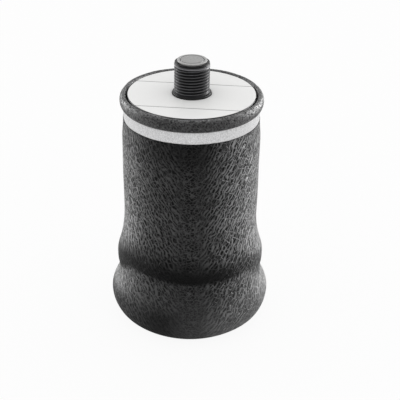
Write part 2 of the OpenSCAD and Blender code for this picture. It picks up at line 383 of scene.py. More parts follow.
def connect(tree, shader, **inputs):
    """Sets the shader's sockets: base_color sets Base Color, and so on."""
    for key, value in inputs.items():
        socket = shader.inputs[key.replace("_", " ").title().replace("Ior", "IOR")]
        if isinstance(value, Wire):
            tree.links.new(value.socket, socket)
        elif isinstance(value, (tuple, list)) and len(value) == 3 and socket.type == "RGBA":
            socket.default_value = (*value, 1.0)
        else:
            socket.default_value = value


def noise(points, scale, detail=3.0, roughness=0.5):
    """Soft noise from 0 to 1."""
    made = points.node(
        "ShaderNodeTexNoise",
        None,
        {"Vector": points, "Scale": scale, "Detail": detail, "Roughness": roughness},
    )
    return made["Fac"]


def edges(points, scale, dimensions="3D"):
    """Distance to the nearest border between cells."""
    made = points.node(
        "ShaderNodeTexVoronoi",
        {"voronoi_dimensions": dimensions, "feature": "DISTANCE_TO_EDGE"},
        {"Vector": points, "Scale": scale, "Randomness": 1.0},
    )
    return made["Distance"]


def split(points):
    made = points.node("ShaderNodeSeparateXYZ", None, {"Vector": points})
    return made["X"], made["Y"], made["Z"]


def join(points, x, y, z):
    return points.node("ShaderNodeCombineXYZ", None, {"X": x, "Y": y, "Z": z})["Vector"]


def around_axis(points):
    """Distance from the axis, and height."""
    x, y, z = split(points)
    return (x * x + y * y) ** 0.5, z


def tint(color, share):
    """The colour with each of its parts times share."""
    return tuple(share * c for c in color)


def bump(tree, height, depth):
    """Normal from a height from 0 to 1 that stands depth metres tall."""
    made = add_node(
        tree, "ShaderNodeBump", None, {"Strength": 1.0, "Distance": depth, "Height": height}
    )
    return made["Normal"]


# Finishes


def wrinkles(points, cell):
    """Ridges round small pits of about the width cell, all in millimetres.

    At the sides they are drawn out along lines that fall towards the front. At the front and the
    back they are a loose net, which also hides the seam of the unrolled pattern.
    """
    wall_r = reach("sleeve_upper_wall") / MM
    slope = math.radians(58.0)
    x, y, z = split(points)
    around = x.math("ARCTAN2", x, -y).size() * wall_r
    side = around.ease(0.0, 11.0) * (1.0 - around.ease(96.0, 110.0))

    across = z * math.cos(slope) - around * math.sin(slope)
    along = z * math.sin(slope) + around * math.cos(slope)
    half = x.ease(-1.0, 1.0) * 40.0
    sway = noise(join(points, across, along * 0.6, half), 0.45 / cell, 1.0)
    phase = across * (0.9 / cell) + (sway - 0.5) * 2.6
    lines = ((phase.math("FRACT", phase) - 0.5).size() * 2.0).ease(0.25, 0.85)
    breaks = noise(join(points, across, along * 0.45, half + 9.0), 1.3 / cell, 0.5)
    cells = edges(join(points, across + half, along * 0.6, 0.0), 1.0 / cell, "2D")
    drawn = lines * (breaks.ease(0.4, 0.54) * 0.8 + 0.2)
    drawn = drawn.most((1.0 - cells.ease(0.0, 0.14)) * 0.75)

    flat = join(points, x, z * 1.3, 0.0)
    patchy = noise(flat, 0.9 / cell, 1.0).ease(0.38, 0.56)
    worm = 1.0 - ((noise(flat, 0.5 / cell, 1.0, 0.4) - 0.5).size() * 2.0).ease(0.0, 0.1)
    net = 1.0 - edges(join(points, x * 0.9, z * 1.2, 0.0), 0.95 / cell, "2D").ease(0.0, 0.15)
    loose = (net * (patchy * 0.6 + 0.4)).most(worm * 0.8)
    return drawn * side + loose * (1.0 - side)


def leather_rubber():
    """Black moulded rubber: fine wrinkles, painted shade in the crease and under the crimp ring,
    painted sheen on the swelling, the lobe and the crests at the sides, calm on the lobe, torn on the
    lip.

    The attribute rest_height is the height that the same part of the wall has at the sides.
    Heights and places are in millimetres.
    """
    look = bpy.context.scene.air_spring_sleeve
    material, tree, shader, points = new_surface("leather_grain_rubber")
    rest = add_node(tree, "ShaderNodeAttribute", {"attribute_name": "rest_height"})["Fac"]
    x = split(points)[0]
    left = x.least(0.0)

    # Zones, from the lip down to the roll of the lobe
    lip = rest.ease(129.0, 132.0)
    # Painted shade under the crimp ring and its lip, darkest just below them and fading down the wall
    painted_shade_under_band = rest.ease(96.0, 124.0) * (1.0 - lip)
    # Painted sheen on the swelling above the lobe
    painted_sheen_swell = rest.ease(42.0, 50.0) * (1.0 - rest.ease(60.0, 85.0))
    # Painted shade: a dark band in the crease over the lobe, set a little higher on the left and
    # weaker on the right
    painted_crease_shade = (rest + left * 0.05).ease(25.5, 29.5) * (1.0 - (rest + left * 0.12).ease(34.0, 50.0))
    painted_crease_shade = painted_crease_shade * (1.0 - x.ease(16.0, 38.0) * 0.45)
    roll = 1.0 - rest.ease(15.5, 22.5)
    # Painted sheen on the lobe's shoulders towards the left and right
    shoulder = (1.0 - roll) * (1.0 - rest.ease(24.5, 28.0)) * x.size().ease(8.0, 36.0)
    calm = rest.ease(12.0, 30.0) * 0.5 + 0.5
    # Painted sheen on the lower lobe's right and painted shade on its left
    painted_lobe_sheen_and_shade = x.ease(4.0, 15.0) * (1.0 - x.ease(28.0, 38.0) * 0.5) - (1.0 - x.ease(-16.0, 2.0)) * 1.1
    # Painted sheen: the crests are painted lighter towards the left and right, more on the right, and
    # weaker low on the wall
    sides = (x.ease(6.0, 28.0) + (1.0 - x.ease(-37.0, -18.0)) * 0.5) * (1.0 - lip)
    sides = sides * (rest.ease(22.0, 55.0) * 0.6 + 0.4)

    # Grain
    wander = add_node(
        tree, "ShaderNodeTexNoise", None, {"Vector": points, "Scale": 0.28, "Detail": 2.0}
    )["Color"]
    warped = points + wander.vector_math("SUBTRACT", wander, (0.5, 0.5, 0.5)) * 1.6
    torn = noise(points, 1.1, 5.0, 0.7)
    pores = noise(points, 2.4, 3.0, 0.6)
    ridges = wrinkles(warped, look.grain / MM)
    ridges = ridges + ((torn - 0.5) * 3.6 + 0.4 - ridges) * lip
    height = ridges * calm + pores * 0.1

    # Tone and gloss, with painted light and shade
    patches = noise(points, 0.06, 3.0)
    rubbed = noise(points, 0.9, 4.0, 0.65)
    # Painted light: darker under the crimp ring, lighter on the swelling, the lobe's shoulders and its
    # lower right, darker on the lobe's left
    painted_light_gain = 1.65 - painted_shade_under_band * 1.05 - lip * 0.3 + painted_lobe_sheen_and_shade * roll * 1.2 + shoulder * 0.8 + painted_sheen_swell * 0.6
    # The grain's shine, with painted shade in the crease and the painted light above; it sets the tone
    # and the coat
    grain_shine_and_painted_light = (ridges * calm + (1.0 - calm) * 0.6) * (1.0 - painted_crease_shade * 0.95) * painted_light_gain
    tone = (grain_shine_and_painted_light * 0.8 + patches * 0.4 - 0.15).between(tint(look.color, 0.15), tint(look.color, 4.5))
    # Painted sheen on the crests at the sides, kept out of the crease
    tone = (sides * (1.0 - painted_crease_shade) * ridges * 0.9).between(tone, tint(look.color, 52))
    rough = look.roughness + (patches - 0.5) * 0.2 + (rubbed - 0.5) * 0.12 + 0.15
    connect(
        tree,
        shader,
        base_color=(lip * torn.ease(0.3, 0.7)).between(tone, tint(look.color, 18)),
        roughness=rough - grain_shine_and_painted_light * 0.2 + lip * 0.15,
        coat_weight=grain_shine_and_painted_light * 0.95,
        normal=bump(tree, height, look.grain_depth),
    )
    connect(tree, shader, specular_ior_level=0.32, coat_roughness=0.44, coat_ior=1.95)
    return material


def smooth_rubber(name, roughness=0.55):
    """Plain moulded rubber with a fine skin."""
    look = bpy.context.scene.air_spring_sleeve
    material, tree, shader, points = new_surface(name)
    skin = noise(points, 1.6, 4.0, 0.6)
    connect(
        tree,
        shader,
        base_color=skin.between(tint(look.color, 0.7), tint(look.color, 1.4)),
        roughness=roughness + (skin - 0.5) * 0.2,
        normal=bump(tree, skin, 0.06 * MM),
    )
    connect(tree, shader, specular_ior_level=0.35)
    return material


def matte_aluminium():
    """Rolled aluminium strip: scratches run round it, with a few dull marks."""
    look = bpy.context.scene.air_spring_metal
    material, tree, shader, points = new_surface("matte_aluminium")
    x, y, z = split(points)
    streaks = noise(join(points, x * 0.12, y * 0.12, z * 9.0), 1.0, 4.0, 0.6)
    marks = noise(points, 0.35, 4.0, 0.6)
    scratch = edges(join(points, x * 0.5, y * 0.5, z * 0.16), 0.5)
    thin = 1.0 - scratch.ease(0.0, 0.02)
    speck = noise(points, 1.5, 3.0, 0.6)
    tone = (streaks * 0.3 + marks * 0.3 + (speck - 0.5) * 2.6 + 0.2 - thin * 0.25).between(
        tint(look.crimp_color, 0.76), tint(look.crimp_color, 1.2)
    )
    connect(
        tree,
        shader,
        base_color=tone,
        metallic=0.1,
        roughness=0.6 + (streaks - 0.5) * 0.16 + (marks - 0.5) * 0.2,
        normal=bump(tree, streaks * 0.7 - thin * 0.3, 0.03 * MM),
    )
    connect(tree, shader, specular_ior_level=0.25)
    return material


def blackened_steel():
    """Phosphated steel: near black, with lighter crests on the thread, partly rubbed bare and partly a
    painted highlight, and a painted highlight on the first crest.
    """
    look = bpy.context.scene.air_spring_metal
    material, tree, shader, points = new_surface("blackened_steel")
    radius, z = around_axis(points)
    speck = noise(points, 2.2, 4.0, 0.65)
    worn = noise(points, 0.5, 3.0)
    # Crests painted lighter: partly steel rubbed bare, partly a painted highlight
    crest = radius.ease(9.2, 9.45) * (1.0 - radius.ease(9.7, 9.9)) * (0.5 + worn * 0.7)
    # Painted highlight: a bright ring on the first crest at the top of the thread
    first_z = (high("mounting_stud") - 1.7 * MM) / MM
    first = (1.0 - (z - first_z).size().ease(0.2, 0.55)) * radius.ease(8.9, 9.3)
    black = (speck * 0.5 + worn * 0.5).between(
        tint(look.stud_color, 0.4), tint(look.stud_color, 1.8)
    )
    connect(
        tree,
        shader,
        base_color=first.between(
            crest.between(black, tuple(look.crest_color)), tint(look.crest_color, 3.0)
        ),
        metallic=crest * 0.4 + 0.1,
        roughness=0.42 + (speck - 0.5) * 0.25 - crest * 0.1,
        normal=bump(tree, speck, 0.025 * MM),
    )
    connect(tree, shader, specular_ior_level=0.4)
    return material


def bare_label():
    """White film, left bare apart from two thin ruled lines."""
    look = bpy.context.scene.air_spring_trim
    material, tree, shader, points = new_surface("white_label_film")
    x, y = split(points)[:2]
    fibre = noise(points, 1.2, 4.0, 0.6)
    shade = noise(points, 0.05, 2.0)
    line_w = 0.2
    upper_y, lower_y = 12.8, -21.5
    across = y + x * 0.103
    ink = 1.0 - (across - upper_y).size().ease(line_w, 2 * line_w)
    ink = ink.most(1.0 - (across - lower_y).size().ease(line_w, 2 * line_w))
    paper = (fibre * 0.5 + shade * 0.5).between(
        tint(look.label_color, 0.96), tint(look.label_color, 1.03)
    )
    connect(
        tree,
        shader,
        base_color=ink.between(paper, tuple(look.line_color)),
        roughness=0.5 + (fibre - 0.5) * 0.12,
        normal=bump(tree, fibre, 0.01 * MM),
    )
    return material


def moulded_plastic(name, color, roughness, depth=0.03):
    """Moulded plastic with a fine spark-eroded skin."""
    material, tree, shader, points = new_surface(name)
    skin = noise(points, 3.0, 3.0, 0.6)
    flow = noise(points, 0.08, 3.0)
    connect(
        tree,
        shader,
        base_color=(skin * 0.4 + flow * 0.6).between(tint(color, 0.85), tint(color, 1.15)),
        roughness=roughness + (skin - 0.5) * 0.14 + (flow - 0.5) * 0.08,
        normal=bump(tree, skin, depth * MM),
    )
    return material


def scuffed_plastic(ring_r):
    """Pale plastic of the plug: scuffs at random, painted shade in the ring's groove, and the flange
    lighter outside the ring.
    """
    look = bpy.context.scene.air_spring_trim
    material, tree, shader, points = new_surface("light_plastic")
    radius = around_axis(points)[0]
    scuff = noise(points, 0.9, 4.0, 0.7)
    # Painted shade in the groove of the ring
    painted_ring_shade = 1.0 - (radius - ring_r / MM).size().ease(0.15, 0.6)
    rim = radius.ease(ring_r / MM + 0.3, ring_r / MM + 0.7)
    connect(
        tree,
        shader,
        base_color=((scuff - 0.5) * 2.0 + 0.5 + rim * 0.35 - painted_ring_shade * 0.7).between(
            tint(look.plug_color, 0.65), tint(look.plug_color, 1.35)
        ),
        roughness=0.45 + (scuff - 0.5) * 0.3,
        normal=bump(tree, scuff, 0.05 * MM),
    )
    return material


def turned_metal(name, color, roughness):
    """Turned metal with fine rings round the axis."""
    material, tree, shader, points = new_surface(name)
    radius, z = around_axis(points)
    rings = noise(join(points, radius * 6.0, 0.0, z * 6.0), 1.0, 3.0)
    spots = noise(points, 0.6, 3.0)
    connect(
        tree,
        shader,
        base_color=(rings * 0.5 + spots * 0.5).between(tint(color, 0.8), tint(color, 1.15)),
        metallic=1.0,
        roughness=roughness + (rings - 0.5) * 0.2,
        normal=bump(tree, rings, 0.02 * MM),
    )
    return material


# Mesh tools


def ramp(value, start, end):
    """0 at start and 1 at end, straight between them and held beyond them."""
    return np.clip((value - start) / (end - start), 0, 1)


def smooth(share):
    """A share from 0 to 1 with a soft start and end."""
    return share * share * (3 - 2 * share)


def arc(mid, rx, rz, start, end, steps=24):
    """Points on an ellipse from one angle to another, in degrees."""
    angles = np.radians(np.linspace(start, end, steps + 1))
    return [(mid[0] + rx * math.cos(a), mid[1] + rz * math.sin(a)) for a in angles]


def fill_in(outline, step):
    """The closed outline with points added, so that none lie further apart than step."""
    points = []
    for a, b in zip(outline, outline[1:] + outline[:1]):
        length = math.dist(a, b)
        if length < 1e-7:
            continue
        count = max(1, math.ceil(length / step))
        for i in range(count):
            points.append((a[0] + (b[0] - a[0]) * i / count, a[1] + (b[1] - a[1]) * i / count))
    return points


def lathe(name, outline, turns, shape=None, sharp=40.0):
    """A closed outline of (radius, height) turned about z.

    shape(r, z, angle) returns r and z moved, and the heights for the attribute rest_height.
    """
    outline = np.array(outline)
    if signed_area(outline) > 0:
        outline = outline[::-1]
    rows = len(outline)
    angle = np.linspace(0, 2 * math.pi, turns, endpoint=False)
    r = np.repeat(outline[:, 0][:, None], turns, axis=1)
    z = np.repeat(outline[:, 1][:, None], turns, axis=1)
    a = np.repeat(angle[None, :], rows, axis=0)
    rest = z
    if shape:
        r, z, rest = shape(r, z, a)
    points = np.stack([r * np.cos(a), r * np.sin(a), z], -1).reshape(-1, 3)
    i, j = np.meshgrid(np.arange(rows), np.arange(turns), indexing="ij")
    i2, j2 = (i + 1) % rows, (j + 1) % turns
    faces = np.stack([i * turns + j, i2 * turns + j, i2 * turns + j2, i * turns + j2], -1)
    made = solid(name, points, faces.reshape(-1, 4), sharp)
    heights = made.data.attributes.new("rest_height", "FLOAT", "POINT")
    heights.data.foreach_set("value", (rest.reshape(-1) / MM).astype(np.float32))
    return made


def signed_area(outline):
    """Area inside the outline, positive where its points run anticlockwise."""
    x, y = outline[:, 0], outline[:, 1]
    return 0.5 * np.sum(x * np.roll(y, -1) - np.roll(x, -1) * y)


def solid(name, points, faces, sharp):
    """A smooth-shaded mesh object whose edges over sharp degrees stay crisp."""
    mesh = bpy.data.meshes.new(name)
    mesh.from_pydata(points.tolist(), [], faces.tolist())
    mesh.validate()
    mesh.shade_smooth()
    mesh.set_sharp_from_angle(angle=math.radians(sharp))
    made = bpy.data.objects.new(name, mesh)
    bpy.context.scene.collection.objects.link(made)
    return made


def dress(piece, material):
    """Gives a new piece its material."""
    piece.data.materials.clear()
    piece.data.materials.append(material)


def paint_node(name, material):
    """Gives a CAD node a better finish."""
    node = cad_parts[name]
    for place in node.material_slots:
        place.link = "OBJECT"
        place.material = material


def uneven(amplitude, seed, rings=9, waves=(2, 9), reach_z=0.11):
    """Slow ripples over a round skin: a function of angle and height."""
    random = np.random.default_rng(seed)
    parts = [
        (
            int(random.integers(*waves)),
            random.uniform(0.5, 3.5) * 2 * math.pi / reach_z,
            random.uniform(0, 2 * math.pi),
            random.uniform(0, 2 * math.pi),
        )
        for _ in range(rings)
    ]

    def height(angle, z):
        total = sum(np.sin(n * angle + p) * np.cos(k * z + q) for n, k, p, q in parts)
        return amplitude * total / math.sqrt(rings)

    return height


# The sleeve's shape, from the frame


class SleeveShape:
    """Radii and levels of the rubber, read from the frame and the settings."""

    def __init__(self, look):
        self.look = look
        self.straight_r = reach("sleeve_upper_wall")
        self.swell_r = reach("sleeve_lower_wall")
        self.lobe_r = reach("rolling_lobe")
        self.shoulder_z = low("sleeve_lower_wall")
        self.root_z = high("sleeve_upper_wall")
        self.foot_z = low("rolling_lobe")
        self.roll_top = high("rolling_lobe")
        self.band_z = low("upper_crimp_ring")
        self.band_top = high("upper_crimp_ring")
        self.lip_top = high("sleeve_top_cuff")
        self.lip_r = reach("sleeve_top_cuff")
        self.cap_r = reach("end_cap")
        self.skin_r = reach("sleeve_inner_wall") - look.wall

    def outside(self, z):
        """Outer radius at a height: straight, flare, swelling, shoulder."""
        look = self.look
        if z >= look.flare_z:
            return self.straight_r
        if z >= look.swell_z:
            rise = (look.flare_z - z) / (look.flare_z - look.swell_z)
            return self.straight_r + (self.swell_r - self.straight_r) * rise**2
        if z >= self.shoulder_z:
            return self.swell_r
        drop = (self.shoulder_z - z) / (self.shoulder_z - look.lobe_z)
        return self.swell_r + (self.lobe_r - self.swell_r) * smooth(drop)

    def slack(self, z, angle):
        """Radius added where the slack sleeve stands fuller at the front, and the rest height.

        The rest height is the height whose radius the wall has there.
        """
        look = self.look
        full_within = 0.75
        front = smooth(ramp(np.cos(angle + math.pi / 2), 0, full_within))
        here = [look.lobe_z, self.shoulder_z, look.swell_z, look.flare_z, self.root_z]
        rise = [0.0, look.sag, 0.75 * look.sag, 0.9 * look.sag, 0.0]
        lowered = np.interp(z, [h + r for h, r in zip(here, rise)], here, left=0, right=0)
        lowered = np.where((z > here[0]) & (z < here[-1]), lowered, z)
        rest = z + (lowered - z) * front
        levels = np.arange(look.lobe_z, self.root_z, 0.5 * MM)
        radii = np.array([self.outside(level) for level in levels])
        crease = look.crease * np.exp(-(((rest - self.shoulder_z - 2.5 * MM) / (3.5 * MM)) ** 2))
        return np.interp(rest, levels, radii) - np.interp(z, levels, radii) - crease, rest

    def line(self, start, end, inset, step=1.0 * MM):
        """Points up or down the outside, moved in by inset. The kink above the swelling is eased."""
        count = max(2, math.ceil(abs(end - start) / step))
        soft = 1.5 * MM
        points = []
        for z in np.linspace(start, end, count + 1):
            near = [self.outside(z + soft * k) for k in (-1, -0.5, 0, 0.5, 1)]
            whole = self.shoulder_z + soft <= z
            points.append(((sum(near) / len(near) if whole else self.outside(z)) - inset, z))
        return points


def outer_sleeve():
    """Lip, squeezed cuff and outer wall down to the lobe's shoulder."""
    look = bpy.context.scene.air_spring_sleeve
    s = SleeveShape(look)
    gap = 0.05 * MM
    lip_in = s.cap_r + 0.3 * MM
    lip_z = s.lip_top - look.lip_h
    half = (s.lip_r - lip_in) / 2
    mid = (lip_in + half, lip_z + look.lip_h / 2)
    squeezed = reach("upper_crimp_ring") - 1.2 * MM - gap
    seat_r = s.cap_r - 1.35 * MM
    ledge_z = high("end_cap") - 5.5 * MM
    skirt_z = low("end_cap")
    inside = s.straight_r - look.wall
    root = []
    for u in np.linspace(0, 1, 15):
        root_r = look.root_r + (s.straight_r - look.root_r) * smooth(u)
        root.append((root_r, s.band_z - gap + (s.root_z - s.band_z + gap) * u))
    outline = (
        [(squeezed, s.band_z - gap)]
        + root
        + s.line(s.root_z, s.shoulder_z, 0)[1:]
        + s.line(s.shoulder_z, s.root_z, look.wall)
        + [(inside, skirt_z - 3 * MM), (seat_r, skirt_z), (seat_r, ledge_z), (lip_in, ledge_z)]
        + arc(mid, half, look.lip_h / 2, 180, -90, 40)
        + [(squeezed, lip_z)]
    )
    ripple = uneven(look.ripple, 3)
    wave = uneven(0.16 * MM, 11, 7, (3, 14))
    torn = uneven(0.12 * MM, 12, 12, (15, 60), 0.006)
    lump_at, lump_width = math.radians(-90 - 30), 0.09
    outer_from = 34 * MM

    def shape(r, z, angle):
        free = ramp(z, s.band_z - 2 * MM, s.band_z - 10 * MM)
        free *= ramp(z, s.shoulder_z, s.shoulder_z + 6 * MM)
        out = (r > outer_from).astype(float)
        top = ramp(z, lip_z + 1.5 * MM, lip_z + 3.5 * MM)
        inner = ramp(r, mid[0], mid[0] - half)
        away = np.angle(np.exp(1j * (angle - lump_at)))
        lump = np.exp(-((away / lump_width) ** 2)) * top
        swing = wave(angle, z * 0)
        r = r + ripple(angle, z) * free * out
        r = r + (np.minimum(0, swing) + torn(angle, z)) * 0.6 * top
        r = r - lump * inner * 0.9 * MM
        z = z + swing * 0.9 * top + lump * 0.2 * MM
        slack, rest = s.slack(z, angle)
        return r + slack * out, z, rest

    piece = lathe("rubber_sleeve", fill_in(outline, 1.6 * MM), look.turns, shape, 50)
    dress(piece, bpy.data.materials["leather_grain_rubber"])
    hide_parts("sleeve_top_cuff", "sleeve_upper_wall", "sleeve_lower_wall")
    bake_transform(piece)


def rolled_lobe():
    """Shoulder, roll and first stretch of the inner wall."""
    look = bpy.context.scene.air_spring_sleeve
    s = SleeveShape(look)
    half_w = (s.lobe_r - s.skin_r) / 2
    half_h = look.lobe_z - s.foot_z
    mid = (s.lobe_r - half_w, look.lobe_z)
    outline = (
        s.line(s.shoulder_z, look.lobe_z, 0)
        + arc(mid, half_w, half_h, -4, -180, 48)
        + [(s.skin_r, s.roll_top), (s.skin_r + look.wall, s.roll_top)]
        + arc(mid, half_w - look.wall, half_h - look.wall, -180, -4, 32)
        + s.line(look.lobe_z, s.shoulder_z, look.wall)
    )
    ripple = uneven(look.ripple * 1.4, 5, 9, (2, 7))

    def shape(r, z, angle):
        free = ramp(z, s.shoulder_z, s.shoulder_z - 8 * MM) * ramp(r, 38 * MM, 42 * MM)
        out = ramp(r, 37 * MM, 38 * MM)
        slack, rest = s.slack(z, angle)
        return r + ripple(angle, z) * free + slack * out, z, rest

    piece = lathe("rubber_lobe", fill_in(outline, 1.6 * MM), look.turns, shape, 50)
    dress(piece, bpy.data.materials["leather_grain_rubber"])
    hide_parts("rolling_lobe")
    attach(piece, "lobe")


def inner_wall():
    """Rubber on the piston, which the lobe takes up as it rolls."""
    look = bpy.context.scene.air_spring_sleeve
    s = SleeveShape(look)
    top = high("sleeve_inner_wall")
    foot = low("sleeve_inner_wall")
    outline = [
        (s.skin_r, foot), (s.skin_r + look.wall, foot), (s.skin_r + look.wall, top), (s.skin_r, top)
    ]
    piece = lathe("rubber_inner_wall", fill_in(outline, 1.5 * MM), 128)
    dress(piece, bpy.data.materials["leather_grain_rubber"])
    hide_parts("sleeve_inner_wall")
    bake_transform(piece)


def crimp_band(name, node, body, seed):
    """Swaged ring with rolled edges and the faint flats of the swaging dies."""
    foot, top, r_out = low(node), high(node), reach(node)
    thick, edge = 1.2 * MM, 0.35 * MM
    r_in = r_out - thick
    outline = (
        [(r_in, foot)]
        + arc((r_out - edge, foot + edge), edge, edge, -90, 0, 6)
        + arc((r_out - edge, top - edge), edge, edge, 0, 90, 6)
        + [(r_in, top)]
    )
    dies, die_mark, inset = 12, 0.04 * MM, 0.07 * MM
    ripple = uneven(0.05 * MM, seed, 6, (3, 11), 0.02)

    def shape(r, z, angle):
        outer = (r > r_in + thick / 2).astype(float)
        flat = die_mark * np.cos(dies * angle)
        return r + outer * (flat + ripple(angle, z) - inset), z, z

    piece = lathe(name, fill_in(outline, 0.8 * MM), 192, shape, 50)
    dress(piece, bpy.data.materials["matte_aluminium"])
    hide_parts(node)
    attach(piece, body)


def threaded_stud():
    """Stud with its real thread, shoulder, head and air port."""
    look = bpy.context.scene.air_spring_metal
    foot, top = low("mounting_stud"), high("mounting_stud")
    cap_top = high("end_cap")
    major, collar_r, head_r = 9.525 * MM, 10.5 * MM, reach("mounting_stud")
    port_r, mouth_r, airway_r = 5.56 * MM, 5.75 * MM, 5.0 * MM
    head_z, collar_z, lead = foot + 5.1 * MM, cap_top + 1.2 * MM, 1.1 * MM
    mouth_z = top - 10.5 * MM
    step = look.pitch / 12
    shank = [(major, z) for z in np.arange(collar_z + 0.3 * MM, top - 0.2 * MM, step)]
    soft = 0.25 * MM
    crest_at, root_at = 0.86, 0.12
    outline = (
        [(airway_r, foot), (head_r - lead, foot), (head_r, foot + lead), (head_r, head_z)]
        + [(collar_r, head_z)]
        + arc((collar_r - soft, collar_z - soft), soft, soft, 0, 90, 4)
        + [(major - 0.3 * MM, collar_z)]
        + shank
        + [(major, top - 0.1 * MM), (major - soft, top)]
        + [(mouth_r, top), (mouth_r, mouth_z), (port_r, mouth_z - 0.2 * MM)]
        + [(port_r, foot + 4.5 * MM), (airway_r, foot + 3.5 * MM)]
    )

    def shape(r, z, angle):
        on_shank = (np.abs(r - major) < 0.05 * MM) & (z > collar_z + 0.1 * MM)
        turn = (z - collar_z) / look.pitch - angle / (2 * math.pi)
        wedge = np.abs((turn % 1.0) - 0.5) * 2
        groove = ramp(wedge, crest_at, root_at) * look.thread_depth
        groove = groove * ramp(z, collar_z, collar_z + 1.2 * MM)
        groove = groove * ramp(z, top - lead - 0.5 * MM, top - lead - 1.2 * MM)
        cut = major - groove
        lead_in = major - np.clip(z - (top - lead), 0, None)
        return np.where(on_shank, np.minimum(cut, lead_in), r), z, z

    piece = lathe("mounting_stud_threaded", outline, 144, shape, 28)
    dress(piece, bpy.data.materials["blackened_steel"])
    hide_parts("mounting_stud")
    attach(piece, "upper")


def port_plug():
    """Push-in plug with a shallow ring in its flange."""
    foot, top = low("port_plug"), high("port_plug")
    flange_z, under_z = top - 1.2 * MM, top - 1.5 * MM
    stem_r, stem_in, bead_r = 5.4 * MM, 3.9 * MM, 5.65 * MM
    flange_r = PLUG_FLANGE * reach("port_plug")
    round_r, ring_r, ring_d = 0.4 * MM, PLUG_RING * flange_r, 0.45 * MM
    centre = 0.02 * MM
    beads = []
    pitch = (flange_z - foot) / 4
    for i in (3, 2, 1):
        z = flange_z - i * pitch
        beads += [(stem_r, z), (bead_r, z + 0.9 * MM), (stem_r, z + 1.0 * MM)]
    outline = (
        [(stem_in, foot), (stem_r, foot)]
        + beads
        + [(stem_r, flange_z), (flange_r - round_r, flange_z)]
        + arc((flange_r - round_r, top - round_r), round_r, round_r, 0, 90, 5)
        + [(ring_r, top), (ring_r - PLUG_RING_W / 2, top - ring_d), (ring_r - PLUG_RING_W, top)]
        + [(centre, top), (centre, under_z), (stem_in, under_z)]
    )
    piece = lathe("port_plug_flanged", fill_in(outline, 1.0 * MM), 96, None, 35)
    dress(piece, bpy.data.materials["light_plastic"])
    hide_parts("port_plug")
    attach(piece, "plug")


def label_piece():
    """Thin film disc with softly rounded edges."""
    foot, top, r_out = low("label_disc"), high("label_disc"), reach("label_disc")
    r_in = 10.8 * MM
    edge = (top - foot) / 2
    outline = (
        arc((r_in + edge, foot + edge), edge, edge, 270, 90, 4)
        + arc((r_out - edge, foot + edge), edge, edge, 90, -90, 4)
    )
    piece = lathe("label_film", fill_in(outline, 1.5 * MM), 160, None, 60)
    dress(piece, bpy.data.materials["white_label_film"])
    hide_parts("label_disc")
    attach(piece, "upper")


# Operators


class AIRSPRING_OT_finishes(bpy.types.Operator):
    """Makes the materials that the pieces share"""

    bl_idname = "airspring.finishes"
    bl_label = "Make Finishes"

    def execute(self, context):
        trim = context.scene.air_spring_trim
        metal = context.scene.air_spring_metal
        leather_rubber()
        smooth_rubber("bumper_rubber")
        smooth_rubber("seal_rubber", 0.35)
        matte_aluminium()
        blackened_steel()
        bare_label()
        scuffed_plastic(PLUG_RING * PLUG_FLANGE * reach("port_plug") - PLUG_RING_W / 2)
        moulded_plastic("piston_plastic", tuple(trim.piston_color), 0.5, 0.05)
        moulded_plastic("black_coat", tuple(metal.stud_color), 0.45)
        turned_metal("plated_steel", tuple(metal.steel_color), 0.35)
        turned_metal("turned_brass", tuple(metal.brass_color), 0.35)
        return {"FINISHED"}


class AIRSPRING_OT_sleeve(bpy.types.Operator):
    """Builds the rubber sleeve: outer wall with its lip, rolled lobe and inner wall"""

    bl_idname = "airspring.sleeve"
    bl_label = "Build Sleeve"

    def execute(self, context):
        outer_sleeve()
        rolled_lobe()
        inner_wall()
        paint_node("sleeve_bottom_cuff", bpy.data.materials["leather_grain_rubber"])
        return {"FINISHED"}


class AIRSPRING_OT_crimp_rings(bpy.types.Operator):
    """Builds the two swaged rings that hold the sleeve"""

    bl_idname = "airspring.crimp_rings"
    bl_label = "Build Crimp Rings"

    def execute(self, context):
        crimp_band("upper_band", "upper_crimp_ring", "upper", 21)
        crimp_band("lower_band", "lower_crimp_ring", "piston", 22)
        return {"FINISHED"}


class AIRSPRING_OT_top(bpy.types.Operator):
    """Builds the threaded stud, the label and the finish of the end cap"""

    bl_idname = "airspring.top"
    bl_label = "Build Top"

    def execute(self, context):
        threaded_stud()
        label_piece()
        paint_node("end_cap", bpy.data.materials["black_coat"])
        paint_node("stud_seal_ring", bpy.data.materials["seal_rubber"])
        return {"FINISHED"}


class AIRSPRING_OT_plug(bpy.types.Operator):
    """Builds the plug in the air port"""

    bl_idname = "airspring.plug"
    bl_label = "Build Port Plug"

    def execute(self, context):
        port_plug()
        return {"FINISHED"}


class AIRSPRING_OT_piston(bpy.types.Operator):
    """Finishes the piston, its inserts and the bumper on it"""

    bl_idname = "airspring.piston"
    bl_label = "Finish Piston"

    def execute(self, context):
        paint_node("piston", bpy.data.materials["piston_plastic"])
        paint_node("piston_insert", bpy.data.materials["turned_brass"])
        paint_node("bumper_insert", bpy.data.materials["turned_brass"])
        paint_node("bumper", bpy.data.materials["bumper_rubber"])
        paint_node("bumper_washer", bpy.data.materials["plated_steel"])
        paint_node("bumper_screw", bpy.data.materials["plated_steel"])
        return {"FINISHED"}


class AIRSPRING_OT_stage(bpy.types.Operator):
    """Makes the pale floor, the soft light and the camera"""

    bl_idname = "airspring.stage"
    bl_label = "Make Stage"

    def execute(self, context):
        stage = context.scene.air_spring_stage
        make_floor(stage)
        make_room_light(stage)
        make_lamps(stage)
        make_camera(stage)
        context.scene.view_settings.view_transform = "Standard"
        return {"FINISHED"}


